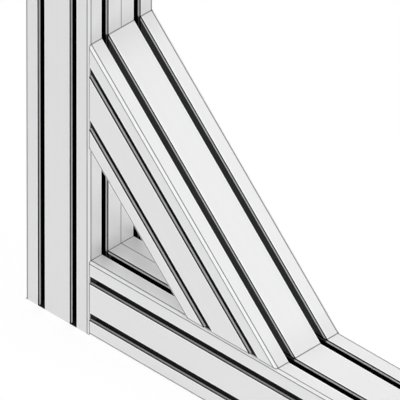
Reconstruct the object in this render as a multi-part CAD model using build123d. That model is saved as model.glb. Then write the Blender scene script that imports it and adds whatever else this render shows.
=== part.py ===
from build123d import *
import os
from math import sqrt

# A braced corner of square T-slot profile. An upright and a beam meet at a right angle, and a
# brace of the same profile, mitred at both ends, ties them at 45 degrees. All three share their
# front and back planes, so the slots run on from one member to the next.
# Millimetres, +Z up. The origin is on the floor, under the middle of the whole corner.
# X runs along the beam, away from the upright, and Y runs from the front to the back.

# Profile section, the same for all three members
SIDE = 80.0                  # outside width, both ways
CORNER_R = 2.5               # outside corner radius
SLOT_PITCH = 40.0            # between the two slots of a face
MOUTH = 8.2                  # slot mouth, between the lips
MOUTH_CHAMFER = 0.4          # broken edge of each lip
LIP = 4.0                    # lip thickness
CHANNEL = 20.0               # channel width behind the lips
SHOULDER = 7.0               # depth at which the channel starts to narrow
FLOOR = 10.0                 # channel floor width
SLOT_DEPTH = 12.5            # face to channel floor
CORE_R = 3.4                 # core bores, tapping size for an M8 thread
CENTRE_CHAMBER = 22.0        # square hollow on the axis,
CENTRE_CHAMBER_CUT = 3.5     # with its corners cut off
SIDE_CHAMBER_NECK = 13.0     # hollow behind a middle land: width between the channels,
SIDE_CHAMBER_WIDTH = 22.0    # width between the cores,
SIDE_CHAMBER_TOP = 4.5       # its top's depth,
SIDE_CHAMBER_WAIST = 8.2     # depth where it starts to widen,
SIDE_CHAMBER_HIP = 13.2      # depth where it has its full width,
SIDE_CHAMBER_FLOOR = 25.0    # and its floor's depth
CORNER_CHAMBER = 5.0         # square hollow in each corner
CORNER_WALL = 3.0            # wall outside it

# Lengths
UPRIGHT_HEIGHT = 440.0
BEAM_LENGTH = 360.0          # clear of the upright
BRACE_INNER_LEG = 120.0      # inner corner to the near edge of each mitre

# T-head anchors. The head sits in one member's slot, the shank in a core bore of the member tied to it
ANCHOR_R = 3.0
ANCHOR_BORE_R = 4.0          # the beam's core bores are opened for them at the joint,
ANCHOR_BORE_DEPTH = 46.0     # to this depth
ANCHOR_REACH = 42.0          # along the bore
ANCHOR_BEND_R = 4.5          # in the brace's anchors, which are cranked to its angle
ANCHOR_HEAD_LENGTH = 15.0    # across the slot
ANCHOR_HEAD_WIDTH = 7.6      # along the slot, so that it drops in through the mouth
ANCHOR_HEAD_THICKNESS = 4.0
ANCHOR_HEAD_CHAMFER = 1.2

# M6 grub screws in the slot floors. Each one's cone point presses into a dent in its anchor
GRUB_R = 2.95
GRUB_HOLE_R = 3.0
GRUB_SETBACK = 30.0          # from the slotted face, along the anchor's bore
GRUB_TIP = 1.8               # from the anchor's axis to the tip of the cone
GRUB_CONE = 1.7              # length of the cone, which has an angle of 120 degrees
GRUB_LENGTH = 5.0
GRUB_HEX = 3.0               # across flats
GRUB_HEX_DEPTH = 2.5

HALF = SIDE / 2
SLOT_OFFSET = SLOT_PITCH / 2
CORE_TO_FLOOR = HALF - SLOT_OFFSET - SLOT_DEPTH
FACE_X = SIDE - (SIDE + BEAM_LENGTH) / 2          # the upright's face that carries the beam
UPRIGHT_X = FACE_X - HALF                         # the upright's axis
INNER_CORNER = (FACE_X, 0, SIDE)
# Along a face, from the inner corner to where the brace's axis and its inner core bores meet that face
BRACE_AXIS_LEG = BRACE_INNER_LEG + HALF * sqrt(2)
ANCHOR_LEG = BRACE_AXIS_LEG - SLOT_OFFSET * sqrt(2)


def slot_void():
    """One T-slot, its mouth on the section's upper side, centred on x = 0."""
    top = HALF + 1
    right = [
        (0, top),
        (MOUTH / 2 + MOUTH_CHAMFER, top),
        (MOUTH / 2 + MOUTH_CHAMFER, HALF),
        (MOUTH / 2, HALF - MOUTH_CHAMFER),
        (MOUTH / 2, HALF - LIP),
        (CHANNEL / 2, HALF - LIP),
        (CHANNEL / 2, HALF - SHOULDER),
        (FLOOR / 2, HALF - SLOT_DEPTH),
        (0, HALF - SLOT_DEPTH),
    ]
    half = make_face(Polyline(*right, close=True))
    return half + mirror(half, Plane.YZ)


def side_chamber():
    """Hollow behind one middle land. It follows the channels beside it, then the cores."""
    right = [
        (0, HALF - SIDE_CHAMBER_TOP),
        (SIDE_CHAMBER_NECK / 2, HALF - SIDE_CHAMBER_TOP),
        (SIDE_CHAMBER_NECK / 2, HALF - SIDE_CHAMBER_WAIST),
        (SIDE_CHAMBER_WIDTH / 2, HALF - SIDE_CHAMBER_HIP),
        (SIDE_CHAMBER_WIDTH / 2, HALF - SIDE_CHAMBER_FLOOR),
        (0, HALF - SIDE_CHAMBER_FLOOR),
    ]
    half = make_face(Polyline(*right, close=True))
    return half + mirror(half, Plane.YZ)


def profile_section():
    """The extrusion's cross-section, centred on its axis."""
    section = RectangleRounded(SIDE, SIDE, CORNER_R)
    corner = HALF - CORNER_WALL - CORNER_CHAMBER / 2
    for turn in range(4):
        face = Rot(0, 0, 90 * turn)
        for side in (-SLOT_OFFSET, SLOT_OFFSET):
            section -= face * Pos(side, 0) * slot_void()
        section -= face * side_chamber()
        section -= face * Pos(SLOT_OFFSET, SLOT_OFFSET) * Circle(CORE_R)
        section -= face * Pos(corner, corner) * Rectangle(CORNER_CHAMBER, CORNER_CHAMBER)
    centre = Rectangle(CENTRE_CHAMBER, CENTRE_CHAMBER)
    return section - chamfer(centre.vertices(), CENTRE_CHAMBER_CUT)


def beam_bores():
    """The beam's four core bores, as places on the upright's face that look along +X."""
    return [
        Plane(origin=(FACE_X, y, HALF + z), x_dir=(0, 1, 0), z_dir=(1, 0, 0))
        for y in (-SLOT_OFFSET, SLOT_OFFSET)
        for z in (-SLOT_OFFSET, SLOT_OFFSET)
    ]


def brace_bores():
    """The brace's two inner core bores, as places on the upright's face that look down the brace."""
    return [
        Plane(origin=(FACE_X, y, SIDE + ANCHOR_LEG), x_dir=(0, 1, 0), z_dir=(1, 0, -1))
        for y in (-SLOT_OFFSET, SLOT_OFFSET)
    ]


def grub_place(bore, outward):
    """A grub screw's axis: it starts on the bore's axis and points out of the nearest slot."""
    return Plane(origin=bore.origin + bore.z_dir * GRUB_SETBACK, x_dir=(0, 1, 0), z_dir=outward)


def lower_end(shape):
    """The same thing at the brace's other end: the corner is symmetric about its own 45 degree plane."""
    return mirror(shape, Plane(origin=INNER_CORNER, z_dir=(1, 0, -1)))


def grub_hole(place):
    return place * Cylinder(GRUB_HOLE_R, CORE_TO_FLOOR + 1, align=(Align.CENTER, Align.CENTER, Align.MIN))


def upright_profile(section):
    return Pos(UPRIGHT_X, 0, 0) * extrude(section, UPRIGHT_HEIGHT)


def beam_profile(section, grubs):
    body = Plane(origin=(FACE_X, 0, HALF), x_dir=(0, 1, 0), z_dir=(1, 0, 0)) * extrude(section, BEAM_LENGTH)
    for bore in beam_bores():
        body -= bore * Cylinder(ANCHOR_BORE_R, ANCHOR_BORE_DEPTH, align=(Align.CENTER, Align.CENTER, Align.MIN))
    for place in grubs:
        body -= grub_hole(place)
    return body


def brace_profile(section, grubs):
    middle = BRACE_AXIS_LEG / 2
    axis = Plane(origin=(FACE_X + middle, 0, SIDE + middle), x_dir=(1, 0, 1), z_dir=(1, 0, -1))
    body = axis * extrude(section, BRACE_AXIS_LEG, both=True)
    body = split(body, Plane(origin=INNER_CORNER, z_dir=(1, 0, 0)), keep=Keep.TOP)
    body = split(body, Plane(origin=INNER_CORNER, z_dir=(0, 0, 1)), keep=Keep.TOP)
    for place in grubs:
        body -= grub_hole(place)
        body -= lower_end(grub_hole(place))
    return body


def cone_point(grub):
    return grub * Pos(0, 0, GRUB_TIP) * Cone(0, GRUB_R, GRUB_CONE, align=(Align.CENTER, Align.CENTER, Align.MIN))


def grub_screw(grub):
    """Cone point on the anchor's side, hexagon socket towards the slot's mouth."""
    shank = grub * Pos(0, 0, GRUB_TIP + GRUB_CONE) * Cylinder(
        GRUB_R, GRUB_LENGTH - GRUB_CONE, align=(Align.CENTER, Align.CENTER, Align.MIN)
    )
    socket = grub * Pos(0, 0, GRUB_TIP + GRUB_LENGTH) * extrude(
        RegularPolygon(GRUB_HEX / 2, 6, major_radius=False), -GRUB_HEX_DEPTH
    )
    return cone_point(grub) + shank - socket


def anchor(bore, grub):
    """T-head across the slot behind the lips, neck out through the mouth, shank in the bore."""
    neck_start = bore.origin - Vector(LIP + ANCHOR_HEAD_THICKNESS / 2, 0, 0)
    shank_end = bore.origin + bore.z_dir * ANCHOR_REACH
    if bore.z_dir.Z == 0:
        path = Line(neck_start, shank_end)
    else:
        path = FilletPolyline(neck_start, bore.origin, shank_end, radius=ANCHOR_BEND_R)
    shank = sweep(Plane(origin=neck_start, x_dir=(0, 1, 0), z_dir=(1, 0, 0)) * Circle(ANCHOR_R), path=path)
    outline = Rectangle(ANCHOR_HEAD_LENGTH, ANCHOR_HEAD_WIDTH)
    outline = chamfer(outline.vertices(), ANCHOR_HEAD_CHAMFER)
    behind_lips = Plane(origin=bore.origin - Vector(LIP, 0, 0), x_dir=(0, 1, 0), z_dir=(1, 0, 0))
    head = behind_lips * extrude(outline, -ANCHOR_HEAD_THICKNESS)
    return shank + head - cone_point(grub)


section = profile_section()
beam_grubs = [grub_place(bore, (0, 0, bore.origin.Z - HALF)) for bore in beam_bores()]
brace_grubs = [grub_place(bore, (-1, 0, -1)) for bore in brace_bores()]
beam_anchors = [anchor(bore, grub) for bore, grub in zip(beam_bores(), beam_grubs)]
upper_anchors = [anchor(bore, grub) for bore, grub in zip(brace_bores(), brace_grubs)]
upper_screws = [grub_screw(grub) for grub in brace_grubs]
lower_screws = [lower_end(part) for part in upper_screws]

parts = {
    "upright_profile": upright_profile(section),
    "beam_profile": beam_profile(section, beam_grubs),
    "brace_profile": brace_profile(section, brace_grubs),
    "beam_anchors": Compound(beam_anchors),
    "brace_anchors": Compound(upper_anchors + [lower_end(part) for part in upper_anchors]),
    "lock_screws": Compound([grub_screw(grub) for grub in beam_grubs] + upper_screws + lower_screws),
}

os.makedirs("parts", exist_ok=True)
for name, shape in parts.items():
    export_step(shape, f"parts/{name}.step")
    print(name, len(shape.solids()), "solid(s)", [round(solid.volume) for solid in shape.solids()], "mm3")
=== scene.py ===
import math

import bmesh
import bpy
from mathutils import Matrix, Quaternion, Vector


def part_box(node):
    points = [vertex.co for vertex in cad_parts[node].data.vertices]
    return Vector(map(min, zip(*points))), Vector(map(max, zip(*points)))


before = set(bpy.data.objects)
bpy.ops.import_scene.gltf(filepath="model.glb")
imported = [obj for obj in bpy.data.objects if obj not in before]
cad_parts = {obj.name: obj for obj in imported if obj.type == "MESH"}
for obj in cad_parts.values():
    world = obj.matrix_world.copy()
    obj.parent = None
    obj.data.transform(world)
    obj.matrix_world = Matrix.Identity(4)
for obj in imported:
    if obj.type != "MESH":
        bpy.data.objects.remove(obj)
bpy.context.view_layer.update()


# Upright: a length of square T-slot extrusion, sawn off at both ends. The aluminium is pushed
# through a die, which leaves faint lines along it, then etched and clear anodised to a satin
# silver. It carries the rest: the anchors of the beam and of the brace sit in its slots.

MM = 0.001
UPRIGHT_LOW, UPRIGHT_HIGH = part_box("upright_profile")
BEAM_LOW, BEAM_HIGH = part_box("beam_profile")
BRACE_LOW, BRACE_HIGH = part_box("brace_profile")
SIDE = UPRIGHT_HIGH.x - UPRIGHT_LOW.x
MITRE_WIDTH = SIDE * math.sqrt(2)    # along a face, under each end of the brace
JOINT_FACE = UPRIGHT_HIGH.x          # the face that carries the beam and the brace
SKIN = (0.80, 0.80, 0.802, 1.0)      # anodised aluminium
PAINTED_SHADE_BLACK = (0.0, 0.0, 0.0, 1.0)         # painted black, standing in for the shade of a channel that no light reaches
CORNER_R = 2.5                       # mm, outside corners of the section
SLOT_OFFSET = 20.0                   # mm, each slot from the middle of its face
MOUTH_HIGHLIGHT = 4.9                      # mm, the painted highlight along the edge of a mouth, from the slot's middle
SLOT_DEPTH = 12.5                    # mm, face to channel floor
SLOT_REACH = 1.1 * SLOT_DEPTH * MM   # a little past the channel's floor
JOINT_SHADE = 24 * MM                # how far a painted soft shade reaches from a joint
CORNER_LINE = (0.40, 0.60)           # mm, half the width of the line where a corner starts to round
SCRIBED_LINE = (0.30, 0.50)          # mm, half the width of a setting-out line
# Grains a mm: across the extrusion one way, the other way, and along it
DIE_STREAKS = (1.3, 1.3, 0.003)
DIE_BANDS = (0.09, 0.09, 0.001)
DIE_HAIRLINES = (5.0, 5.0, 0.0015)
ETCH = (3.5, 3.5, 3.5)
SAW_TEETH = (0.25, 3.0, 0.25)
# Depth in a slot, in mm, and the share of the skin's colour that is left there: the broken edge of
# the mouth is painted dark, painted shade lies under the lip, and the channel behind the lip is painted
# black for its shade
SLOT_SHADES = [
    (0.00, 1.00), (0.03, 1.00), (0.10, 0.05), (1.30, 0.05), (1.50, 0.88), (3.20, 0.88),
    (3.40, 0.02), (3.95, 0.02), (4.05, 0.00), (SLOT_DEPTH, 0.00),
]


class Wire:
    """One output in a node tree. Sums and comparisons on it add the Math nodes for them."""

    def __init__(self, finish, socket):
        self.finish = finish
        self.socket = socket

    def maths(self, operation, *values):
        inputs = dict(zip(("Value", "Value_001", "Value_002"), values))
        return self.finish.node("ShaderNodeMath", {"operation": operation}, inputs)

    def __add__(self, other):
        return self.maths("ADD", self, other)

    def __sub__(self, other):
        return self.maths("SUBTRACT", self, other)

    def __rsub__(self, other):
        return self.maths("SUBTRACT", other, self)

    def __mul__(self, other):
        return self.maths("MULTIPLY", self, other)

    def __abs__(self):
        return self.maths("ABSOLUTE", self)

    __radd__, __rmul__ = __add__, __mul__

    def least(self, other):
        return self.maths("MINIMUM", self, other)

    def most(self, other):
        return self.maths("MAXIMUM", self, other)

    def rise(self, start, end):
        """0 up to start, 1 from end on, smooth between."""
        limits = {"Value": self, "From Min": start, "From Max": end}
        return self.finish.node("ShaderNodeMapRange", {"interpolation_type": "SMOOTHSTEP"}, limits)

    def fall(self, start, end):
        return 1 - self.rise(start, end)


class Finish:
    """A procedural material, or the studio's world, made node by node."""

    def __init__(self, owner):
        owner.use_nodes = True
        self.owner = owner
        self.tree = owner.node_tree
        self.tree.nodes.clear()

    def node(self, kind, settings, inputs, output=None):
        """Adds a node. Its sockets take values or wires. Returns its first output, or the one named."""
        made = self.tree.nodes.new(kind)
        for setting, value in settings.items():
            if setting == "stops":
                ramp = made.color_ramp
                for place, _ in value[1:-1]:
                    ramp.elements.new(place)
                for element, (place, shade) in zip(ramp.elements, value):
                    element.position, element.color = place, (shade, shade, shade, 1)
            else:
                setattr(made, setting, value)
        for key, value in inputs.items():
            socket = next(s for s in made.inputs if s.identifier == key)
            if isinstance(value, Wire):
                self.tree.links.new(value.socket, socket)
            else:
                socket.default_value = value
        for socket in made.outputs:
            if output in (None, socket.identifier):
                return Wire(self, socket)

    def parts(self, vector):
        return [self.node("ShaderNodeSeparateXYZ", {}, {"Vector": vector}, axis) for axis in ("X", "Y", "Z")]

    def facing(self, direction):
        """1 where the surface looks along a direction, 0 across it, -1 away from it."""
        normal = self.node("ShaderNodeTexCoord", {}, {}, "Normal")
        return self.node(
            "ShaderNodeVectorMath", {"operation": "DOT_PRODUCT"},
            {"Vector": normal, "Vector_001": direction}, "Value",
        )

    def noise(self, vector, grains, detail=2.0):
        """Smooth noise about 0.5, with so many grains to the vector's unit each way."""
        scaled = self.node(
            "ShaderNodeVectorMath", {"operation": "MULTIPLY"}, {"Vector": vector, "Vector_001": grains}
        )
        return self.node("ShaderNodeTexNoise", {}, {"Vector": scaled, "Scale": 1.0, "Detail": detail})

    def blend(self, amount, first, second):
        """One colour at 0, the other at 1, and on in the same way past 1."""
        inputs = {"Factor_Float": amount, "A_Color": first, "B_Color": second}
        settings = {"data_type": "RGBA", "clamp_factor": False}
        return self.node("ShaderNodeMix", settings, inputs, "Result_Color")

    def surface(self, **looks):
        """Closes the material with one Principled shader. A _ stands for a space in a socket's name."""
        looks = {key.replace("_", " "): value for key, value in looks.items()}
        shader = self.node("ShaderNodeBsdfPrincipled", {}, looks)
        self.node("ShaderNodeOutputMaterial", {}, {"Surface": shader})


def inside(*limits):
    """How far a place lies within its limits, each a coordinate, its low and its high. Below 0 outside."""
    gaps = [gap for place, low, high in limits for gap in (place - low, high - place)]
    nearest = gaps[0]
    for gap in gaps[1:]:
        nearest = nearest.least(gap)
    return nearest


class Extrusion(Finish):
    """Satin anodised extrusion: die lines, sawn ends, painted shade in the slots with a painted highlight at
    their mouths, and lines where the corners round.
    """

    def __init__(self, name, middle, turn, along):
        """Lays the section's x and y, in mm, across the extrusion, whose middle and turn are given."""
        super().__init__(bpy.data.materials.new(name))
        self.place = self.node("ShaderNodeTexCoord", {}, {}, "Object")
        turned = {"Location": middle, "Rotation": (0.0, turn, 0.0), "Scale": (MM, MM, MM)}
        own = self.node("ShaderNodeMapping", {"vector_type": "TEXTURE"}, {"Vector": self.place, **turned})
        self.x, self.y, _ = self.parts(own)
        half = SIDE / MM / 2
        flat = half - CORNER_R
        across = abs(self.x).least(abs(self.y))
        self.depth = half - abs(self.x).most(abs(self.y))

        self.sawn = abs(self.facing(along)).rise(0.6, 0.7)
        self.outside = self.depth.fall(0.6, 0.9) * (1 - self.sawn)
        self.rounded = across.rise(flat - 0.3, flat - 0.2)
        # painted shade in the slots, by depth
        stops = [(depth / SLOT_DEPTH, shade) for depth, shade in SLOT_SHADES]
        in_slot = self.node("ShaderNodeValToRGB", {"stops": stops}, {"Fac": self.depth * (1 / SLOT_DEPTH)})
        self.open = in_slot.most(self.rounded).most(self.sawn)
        corner_line = abs(across - flat).fall(*CORNER_LINE) * self.outside
        # painted highlight: a thin light line along the edge of each slot's mouth
        mouth_highlight = abs(abs(across - SLOT_OFFSET) - MOUTH_HIGHLIGHT).fall(0.3, 0.5) * self.outside

        bands = self.noise(own, DIE_BANDS)
        hairlines = self.noise(own, DIE_HAIRLINES, detail=1.0)
        etched = self.noise(own, ETCH)
        saw_marks = self.noise(own, SAW_TEETH, detail=3.0)
        self.streaks = self.noise(own, DIE_STREAKS, detail=3.0)
        drawn = self.streaks * 0.6 + hairlines * 0.25
        self.grain = drawn * (1 - self.sawn) + etched * 0.15 + saw_marks * self.sawn
        uneven = (self.streaks - 0.5) * 0.05 + (bands - 0.5) * 0.05
        self.shade = self.open * (1 - corner_line * 0.8) * (1 + mouth_highlight * 0.18)
        self.shade *= 1 + uneven + (saw_marks - 1.4) * self.sawn * 0.1

    def face(self, direction):
        """1 on the outside that looks one way, without its slots, 0 elsewhere."""
        return self.facing(direction).rise(0.9, 0.95) * self.outside

    def middle_of(self, direction):
        """1 on a fine line along the middle of the face that looks one way, up or to the side."""
        return abs(self.y).fall(*SCRIBED_LINE) * self.face(direction)

    def darken(self, mark, share):
        """Takes a share of the colour away where a mark is."""
        self.shade *= 1 - mark * share

    def lighten(self, slots, shade):
        """Paints the channels of some slots a little lighter: painted light over part of their painted
        shade.
        """
        self.shade = self.shade.most(slots.rise(0.0, 1.0) * self.depth.rise(4.0, 4.2) * shade)

    def shade_beside(self, gap, direction, share):
        """Paints a soft shade on the face that looks one way, towards a joint that keeps some light away."""
        self.darken(abs(gap).fall(0.0, JOINT_SHADE) * self.face(direction), share)

    def shut_in(self, *limits):
        """Paints shade over what another member's end covers, inside the joint. Each limit is a coordinate,
        its low and its high.
        """
        self.darken(inside(*limits).rise(0.0, 3 * MM), 0.95)

    def lay_on(self, node):
        """Closes the finish and lays it on one of the frame's pieces."""
        height = {"Strength": 0.35, "Distance": 0.04 * MM, "Height": self.grain}
        self.surface(
            Base_Color=self.blend(self.shade, PAINTED_SHADE_BLACK, SKIN),
            Metallic=0.2 + 0.8 * self.open.fall(0.15, 0.6),
            Roughness=0.40 + (self.streaks - 0.5) * 0.16 + (1 - self.open) * 0.2,
            Normal=self.node("ShaderNodeBump", {}, height),
        )
        dress(node, self.owner)


def dress(node, material):
    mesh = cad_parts[node].data
    mesh.materials.clear()
    mesh.materials.append(material)


upright = Extrusion("upright_anodised", (UPRIGHT_LOW + UPRIGHT_HIGH) / 2, 0.0, (0, 0, 1))
inner_face = (1, 0, 0)
upright.darken(upright.middle_of(inner_face), 0.85)
# painted shade: the upright's rounded corners a little darker than its faces
upright.darken(upright.rounded * upright.outside, 0.1)
# painted shade: the upright's front and rear faces a little darker than its sides
for direction in ((0, -1, 0), (0, 1, 0)):
    upright.darken(upright.face(direction), 0.04)
place_x, place_y, place_z = upright.parts(upright.place)
in_slots = (place_x, JOINT_FACE - SLOT_REACH, JOINT_FACE + SLOT_REACH)
# painted shade on the upright where the beam's end and the brace's upper mitre cover it
for low, high in ((BEAM_LOW.z, BEAM_HIGH.z), (BRACE_HIGH.z - MITRE_WIDTH, BRACE_HIGH.z)):
    upright.shut_in(in_slots, (place_y, -SIDE / 2, SIDE / 2), (place_z, low, high))
# painted soft shade on the inner face beside the brace and the beam
upright.shade_beside(place_z - BRACE_HIGH.z, inner_face, 0.10)
upright.shade_beside(place_z - BEAM_HIGH.z, inner_face, 0.20)
upright.lay_on("upright_profile")


# Beam: the same extrusion laid on its side. Its sawn end is drawn up against the upright by four
# anchors in its core bores. The setting-out line on the upright goes on along its top, up to the
# brace, and the cut edge, which is lightly broken, shows as a fine seam at the joint.

BROKEN_EDGE = 0.9 * MM

beam = Extrusion("beam_anodised", (BEAM_LOW + BEAM_HIGH) / 2, math.pi / 2, (1, 0, 0))
top_face = (0, 0, 1)
brace_toe = BRACE_HIGH.x - MITRE_WIDTH
place_x, place_y, place_z = beam.parts(beam.place)
from_joint = place_x - JOINT_FACE
beam.darken(beam.middle_of(top_face) * place_x.fall(brace_toe, brace_toe + MM), 0.8)
beam.darken(from_joint.fall(0.7 * BROKEN_EDGE, BROKEN_EDGE) * beam.outside, 0.9)
beam.lighten(abs(beam.y) - abs(beam.x), 0.05)      # painted light in the front and rear slots
# painted soft shade on the top beside the upright and the brace
beam.shade_beside(from_joint, top_face, 0.12)
beam.shade_beside(place_x - BRACE_HIGH.x, top_face, 0.04)
# painted shade on the beam's top and slots under the brace's foot
in_slots = (place_z, BEAM_HIGH.z - SLOT_REACH, BEAM_HIGH.z + SLOT_REACH)
beam.shut_in((place_x, brace_toe, BRACE_HIGH.x), (place_y, -SIDE / 2, SIDE / 2), in_slots)
beam.lay_on("beam_profile")


# Brace: the same extrusion again, mitred at both ends so that it lies flat on the upright and on
# the beam. Its mitred edges are lightly broken too, and each leaves a fine seam.

DIAGONAL = math.sqrt(0.5)

brace_leg = BRACE_HIGH.x - BRACE_LOW.x - MITRE_WIDTH / 2
brace_middle = Vector((BRACE_LOW.x + brace_leg / 2, 0.0, BRACE_LOW.z + brace_leg / 2))
brace = Extrusion("brace_anodised", brace_middle, math.radians(135), (DIAGONAL, 0, -DIAGONAL))
place_x, place_y, place_z = brace.parts(brace.place)
from_mitre = (place_x - BRACE_LOW.x).least(place_z - BRACE_LOW.z)
brace.darken(from_mitre.fall(0.7 * BROKEN_EDGE, BROKEN_EDGE) * brace.outside, 0.7)
brace.lighten(abs(brace.y) - abs(brace.x), 0.06)   # painted light in the front and rear slots
brace.lighten(0 - brace.x - abs(brace.y), 0.13)    # painted light in the slots that look up at the light
# painted soft shade on the upper face beside both mitres
brace.shade_beside(from_mitre, (DIAGONAL, 0, DIAGONAL), 0.08)
brace.lay_on("brace_profile")


# Anchors: turned and headed steel, zinc plated, with faint turning marks and a mottled plating.
# The straight ones hold the beam to the upright, the cranked ones hold the brace to both.

ZINC_DULL = (0.52, 0.54, 0.57, 1.0)
ZINC_BRIGHT = (0.70, 0.71, 0.72, 1.0)
SPANGLE = (180.0, 180.0, 180.0)      # grains a metre
TURNING = (2500.0, 60.0, 60.0)

zinc = Finish(bpy.data.materials.new("zinc_plated_steel"))
place = zinc.node("ShaderNodeTexCoord", {}, {}, "Object")
spangle = zinc.noise(place, SPANGLE)
marks = {"Strength": 0.3, "Distance": 0.03 * MM, "Height": zinc.noise(place, TURNING)}
zinc.surface(
    Base_Color=zinc.blend(spangle, ZINC_DULL, ZINC_BRIGHT),
    Metallic=1.0,
    Roughness=0.28 + spangle * 0.2,
    Normal=zinc.node("ShaderNodeBump", {}, marks),
)
for node in ("beam_anchors", "brace_anchors"):
    dress(node, zinc.owner)


# Lock screws: small grub screws in the slot floors, black oxide from the tempering oil, and a
# little worn where the key has turned.

OXIDE = (0.035, 0.035, 0.04, 1.0)
WORN_STEEL = (0.16, 0.155, 0.15, 1.0)
WEAR = (900.0, 900.0, 900.0)         # grains a metre

oxide = Finish(bpy.data.materials.new("black_oxide_steel"))
place = oxide.node("ShaderNodeTexCoord", {}, {}, "Object")
worn = oxide.noise(place, WEAR, detail=4.0).rise(0.55, 0.75)
oxide.surface(
    Base_Color=oxide.blend(worn, OXIDE, WORN_STEEL),
    Metallic=0.8,
    Roughness=0.45 - worn * 0.15,
)
dress("lock_screws", oxide.owner)


# Floor: a plain pale sweep of card. It looks white from anywhere, and keeps a soft shadow of the
# corner. Where the corner stands on it, the card is painted black and gives no glow: painted shade.

WHITE = (1.0, 1.0, 1.0, 1.0)
CARD = (0.55, 0.55, 0.55, 1.0)
CARD_REACH = 12.0                    # metres each way from the middle
CARD_GLOW = 0.8                      # share of the card's look that is plain white


def seen(finish):
    """1 for what the eye sees, straight on or through a gloss or a glass, 0 for what lights the corner."""
    rays = [finish.node("ShaderNodeLightPath", {}, {}, "Is " + kind + " Ray")
            for kind in ("Camera", "Glossy", "Transmission")]
    return rays[0].most(rays[1]).most(rays[2])


def under(finish, low, high):
    """1 on the floor under a piece, 0 beside it."""
    x, y, _ = finish.parts(finish.node("ShaderNodeTexCoord", {}, {}, "Object"))
    return inside((x, low.x, high.x), (y, low.y, high.y)).rise(0.0, 0.1 * MM)


card = Finish(bpy.data.materials.new("white_card"))
round_edge = Vector((0.0, CORNER_R * MM, 0.0))
under_beam = under(card, BEAM_LOW + round_edge, BEAM_HIGH - round_edge)
covered = under(card, UPRIGHT_LOW, UPRIGHT_HIGH).most(under_beam)
colour = card.blend(covered, card.blend(seen(card), CARD, WHITE), PAINTED_SHADE_BLACK)
lit = card.node("ShaderNodeBsdfPrincipled", {}, {"Base Color": colour, "Roughness": 1.0})
glow = card.node("ShaderNodeEmission", {}, {"Color": WHITE, "Strength": 1.0})
share = seen(card) * (1 - covered) * CARD_GLOW
mixed = card.node("ShaderNodeMixShader", {}, {"Fac": share, "Shader": lit, "Shader_001": glow})
card.node("ShaderNodeOutputMaterial", {}, {"Surface": mixed})

sheet = bmesh.new()
bmesh.ops.create_grid(sheet, x_segments=1, y_segments=1, size=CARD_REACH)
floor_mesh = bpy.data.meshes.new("floor")
sheet.to_mesh(floor_mesh)
sheet.free()
floor_mesh.materials.append(card.owner)
floor = bpy.data.objects.new("floor", floor_mesh)
scene = bpy.context.scene
scene.collection.objects.link(floor)


# Light: a white room with a wide soft lamp overhead. Three more fill the top, the front and the
# back evenly, also inside the window and the slots, so they cast no shadow.

ROOM = 0.14                          # the room's light, against 1 for plain white
OVERHEAD, TOP_FILL, SIDE_FILL = 1.68, 0.95, 2.12      # the lamps' strengths
UP = (0.0, 0.0, 1.0)
WIDE, SOFT = 50.0, 30.0              # how wide a lamp looks from the corner, in degrees

scene.world = bpy.data.worlds.new("studio")
room = Finish(scene.world)
strength = ROOM + seen(room) * (1 - ROOM)
background = room.node("ShaderNodeBackground", {}, {"Color": WHITE, "Strength": strength})
room.node("ShaderNodeOutputWorld", {}, {"Surface": background})


def soft_lamp(name, energy, towards, spread, fill):
    """A wide far lamp in the given direction. It shows in no gloss, and a fill casts no shadow."""
    light = bpy.data.lights.new(name, "SUN")
    light.energy = energy
    light.angle = math.radians(spread)
    light.use_shadow = not fill
    lamp = bpy.data.objects.new(name, light)
    lamp.visible_glossy = False
    lamp.rotation_mode = "QUATERNION"
    lamp.rotation_quaternion = Vector(towards).to_track_quat("Z", "Y")
    scene.collection.objects.link(lamp)


soft_lamp("overhead", OVERHEAD, UP, WIDE, fill=False)
soft_lamp("top_fill", TOP_FILL, UP, WIDE, fill=True)
soft_lamp("front_fill", SIDE_FILL, (0.66, -0.68, -0.10), SOFT, fill=True)
soft_lamp("back_fill", SIDE_FILL, (-0.66, 0.68, -0.10), SOFT, fill=True)


# Camera: a very long lens, so that next to nothing converges, looking down over the front corner
# with the three directions of the framing equally foreshortened. It leans by a hair, which shares
# out what little convergence is left.

LENS, SENSOR = 1725.0, 36.0          # mm
SIGHT_END = 60.0                     # metres, past the floor behind the corner
VIEW_WIDTH = 0.3525                  # what the view takes in, side to side, in metres
LEAN = math.radians(0.24)
AIM = Vector((JOINT_FACE + 0.0983, 0.0, 0.1756))
BACK = Vector((0.5744, -0.5824, 0.5752)).normalized()      # from the corner to the camera

lens = bpy.data.cameras.new("camera")
lens.lens = LENS
lens.sensor_width = SENSOR
lens.clip_end = SIGHT_END
camera = bpy.data.objects.new("camera", lens)
camera.location = AIM + BACK * (VIEW_WIDTH * LENS / SENSOR)
camera.rotation_mode = "QUATERNION"
camera.rotation_quaternion = BACK.to_track_quat("Z", "Y") @ Quaternion((0, 0, 1), LEAN)
scene.collection.objects.link(camera)
scene.camera = camera
scene.view_settings.view_transform = "Standard"
